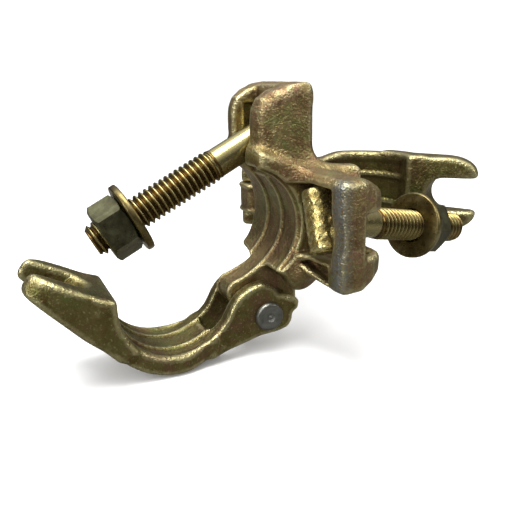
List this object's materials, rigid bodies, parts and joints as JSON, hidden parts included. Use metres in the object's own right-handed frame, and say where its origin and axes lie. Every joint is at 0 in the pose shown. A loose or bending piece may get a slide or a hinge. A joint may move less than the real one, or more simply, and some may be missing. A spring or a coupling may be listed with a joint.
{
  "type": "right-angle scaffold coupler",
  "caption": "Forged right-angle scaffold coupler: back-to-back tube saddles, hinged forked flaps, swinging tee-head bolts, washers and nuts, shown open.",
  "frame": {"origin": "on the axis of tube A, at the middle of the seat band that tube A bears on", "axes": "+Y along tube A, +Z along tube B and up, +X from tube A's axis to tube B's axis"},
  "size_m": [0.2167, 0.108, 0.1153],
  "materials": {
    "forged_body": "yellow zinc plated drop forging, satin with an orange-peel grain",
    "forged_flap": "yellow zinc plated drop forging, satin, with trim scratches on the side faces",
    "rivet_steel": "dull grey steel rivet",
    "bolt_zinc": "yellow zinc plated, bright rough tee head and golden thread",
    "washer_zinc": "yellow zinc plated, smooth",
    "nut_zinc": "dark olive zinc plated, chamfered hexagon"
  },
  "bodies": {
    "body": {"body": "forged_body"},
    "flap_a": {"flap_a": "forged_flap", "rivet_a": "rivet_steel"},
    "flap_b": {"flap_b": "forged_flap", "rivet_b": "rivet_steel"},
    "bolt_a": {"bolt_a": "bolt_zinc"},
    "bolt_b": {"bolt_b": "bolt_zinc"},
    "washer_a": {"washer_a": "washer_zinc"},
    "washer_b": {"washer_b": "washer_zinc"},
    "nut_a": {"nut_a": "nut_zinc"},
    "nut_b": {"nut_b": "nut_zinc"}
  },
  "joints": [
    {"name": "flap_a_hinge", "type": "hinge", "parent": "body", "child": "flap_a", "pos_m": [0.0135, -0.0153, -0.0425], "axis": [0, 1, 0], "range_deg": [-12, 52]},
    {"name": "bolt_a_swing", "type": "hinge", "parent": "body", "child": "bolt_a", "pos_m": [0.024, -0.0153, 0.0382], "axis": [0, 1, 0], "range_deg": [-14.1, 61.05]},
    {"name": "washer_a_travel", "type": "slide", "parent": "bolt_a", "child": "washer_a", "axis": [-0.891, 0, -0.454], "range_m": [-0.0181, 0.0045]},
    {"name": "nut_a_spin", "type": "hinge", "parent": "washer_a", "child": "nut_a", "pos_m": [0.024, -0.0153, 0.0382], "axis": [-0.891, 0, -0.454], "range_deg": [-2590, 635]},
    {"name": "flap_b_hinge", "type": "hinge", "parent": "body", "child": "flap_b", "pos_m": [0.0425, 0.0272, 0], "axis": [0, 0, -1], "range_deg": [-1, 37]},
    {"name": "bolt_b_swing", "type": "hinge", "parent": "body", "child": "bolt_b", "pos_m": [0.0275, -0.0499, 0.0032], "axis": [0, 0, -1], "range_deg": [-1.36, 49.35]},
    {"name": "washer_b_travel", "type": "slide", "parent": "bolt_b", "child": "washer_b", "axis": [0.9539, 0.229, -0.1942], "range_m": [-0.0041, 0.0176]},
    {"name": "nut_b_spin", "type": "hinge", "parent": "washer_b", "child": "nut_b", "pos_m": [0.0275, -0.0499, 0.0032], "axis": [0.9539, 0.229, -0.1942], "range_deg": [-575, 2510]}
  ],
  "couplings": [
    {"joint": "bolt_a_swing", "follows": "flap_a_hinge", "ratio": 1.1731},
    {"joint": "washer_a_travel", "follows": "nut_a_spin", "m_per_rad": 0.00039789},
    {"joint": "bolt_b_swing", "follows": "flap_b_hinge", "ratio": 1.3324},
    {"joint": "washer_b_travel", "follows": "nut_b_spin", "m_per_rad": 0.00039789}
  ]
}
